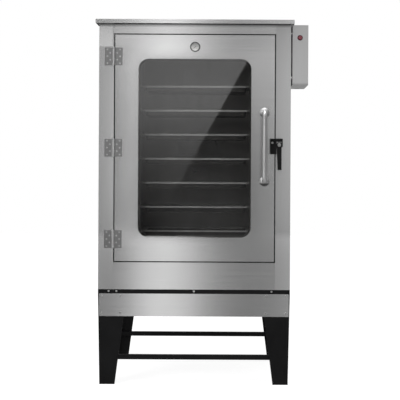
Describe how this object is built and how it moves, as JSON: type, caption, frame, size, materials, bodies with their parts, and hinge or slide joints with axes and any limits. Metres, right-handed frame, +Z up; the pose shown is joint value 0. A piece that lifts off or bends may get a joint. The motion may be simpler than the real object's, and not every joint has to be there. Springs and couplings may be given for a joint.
{
  "type": "rotating rack oven",
  "caption": "Tall stainless oven on a black four-legged stand, with a windowed hinged door, a turning tray rack inside and a control box on its right side.",
  "frame": {"origin": "on the floor, under the middle of the oven's bounding box", "axes": "+Z up, +X to the right seen from the front, +Y from the door to the back"},
  "size_m": [1.108, 1.218, 1.902],
  "materials": {
    "cabinet_steel": "brushed stainless steel",
    "door_steel": "brushed stainless steel",
    "galvanised_sheet": "galvanised",
    "chamber_steel": "stainless steel, heat tinted",
    "black_paint": "satin black paint",
    "zinc_bolts": "zinc plated",
    "mineral_wool": "matt fibre",
    "bezel_black": "gloss",
    "button_red": "gloss, translucent",
    "rack_steel": "stainless steel",
    "tray_steel": "dark baked steel",
    "bearing_iron": "machined",
    "bush_brass": "machined",
    "motor_paint": "grey blue paint",
    "fan_steel": "stainless steel",
    "heater_steel": "oxidised",
    "door_glass": "tinted, polished",
    "inner_glass": "polished",
    "gasket_rubber": "matt silicone",
    "handle_chrome": "polished",
    "gauge_case": "polished",
    "pointer_black": "matt",
    "gauge_lens": "polished",
    "latch_black": "satin black",
    "strike_steel": "satin",
    "hinge_steel": "satin",
    "pin_steel": "polished"
  },
  "bodies": {
    "cabinet": {"leg_front_left": "black_paint", "leg_front_right": "black_paint", "leg_rear_left": "black_paint", "leg_rear_right": "black_paint", "stand_frame": "black_paint", "crossbar_front": "black_paint", "crossbar_rear": "black_paint", "skirt_front": "cabinet_steel", "stand_bolts": "zinc_bolts", "side_panel_left": "cabinet_steel", "side_panel_right": "cabinet_steel", "rear_panel": "cabinet_steel", "top_cover": "cabinet_steel", "base_panel": "galvanised_sheet", "top_rail": "cabinet_steel", "bottom_rail": "cabinet_steel", "chamber_left": "chamber_steel", "chamber_right": "chamber_steel", "chamber_roof": "chamber_steel", "chamber_floor": "chamber_steel", "chamber_rear": "chamber_steel", "air_baffle": "chamber_steel", "insulation": "mineral_wool", "vent_pipe": "cabinet_steel", "control_box": "cabinet_steel", "button_bezel": "bezel_black", "floor_bearing": "bearing_iron", "gear_motor": "motor_paint", "top_bush": "bush_brass", "fan_motor": "motor_paint", "motor_cover": "cabinet_steel", "heating_element": "heater_steel", "latch_strike": "strike_steel", "hinge_frame_leaves": "hinge_steel", "hinge_pins": "pin_steel"},
    "door": {"door_skin": "door_steel", "door_inner_panel": "door_steel", "outer_glass": "door_glass", "inner_glass": "inner_glass", "door_gasket": "gasket_rubber", "door_handle": "handle_chrome", "gauge_case": "gauge_case", "gauge_lens": "gauge_lens", "latch_body": "latch_black", "hinge_door_leaves": "hinge_steel"},
    "latch_lever": {"latch_lever": "latch_black"},
    "gauge_pointer": {"gauge_pointer": "pointer_black"},
    "rack": {"rack_frame": "rack_steel", "turntable": "rack_steel", "tray_1": "tray_steel", "tray_2": "tray_steel", "tray_3": "tray_steel", "tray_4": "tray_steel", "tray_5": "tray_steel", "tray_6": "tray_steel", "tray_7": "tray_steel"},
    "fan": {"fan_wheel": "fan_steel"},
    "start_button": {"start_button": "button_red"}
  },
  "joints": [
    {"name": "door_swing", "type": "hinge", "parent": "cabinet", "child": "door", "pos_m": [-0.461, -0.5478, 1.233], "axis": [0, 0, -1], "range_deg": [0, 170]},
    {"name": "latch_lever_pull", "type": "hinge", "parent": "door", "child": "latch_lever", "pos_m": [0.403, -0.558, 1.25], "axis": [-1, 0, 0], "range_deg": [0, 50], "stiffness_Nm_per_rad": 0.6, "springref_deg": -17.19},
    {"name": "gauge_pointer_turn", "type": "hinge", "parent": "door", "child": "gauge_pointer", "pos_m": [-0.037, -0.5448, 1.761], "axis": [0, 1, 0], "range_deg": [0, 270]},
    {"name": "rack_spin", "type": "hinge", "parent": "cabinet", "child": "rack", "pos_m": [-0.037, -0.091, 0.704], "axis": [0, 0, 1], "continuous": true},
    {"name": "fan_spin", "type": "hinge", "parent": "cabinet", "child": "fan", "pos_m": [-0.037, 0.384, 1.233], "axis": [0, 1, 0], "continuous": true},
    {"name": "start_button_press", "type": "slide", "parent": "cabinet", "child": "start_button", "axis": [0, 1, 0], "range_m": [0, 0.004], "stiffness_N_per_m": 400, "springref_m": -0.003}
  ]
}
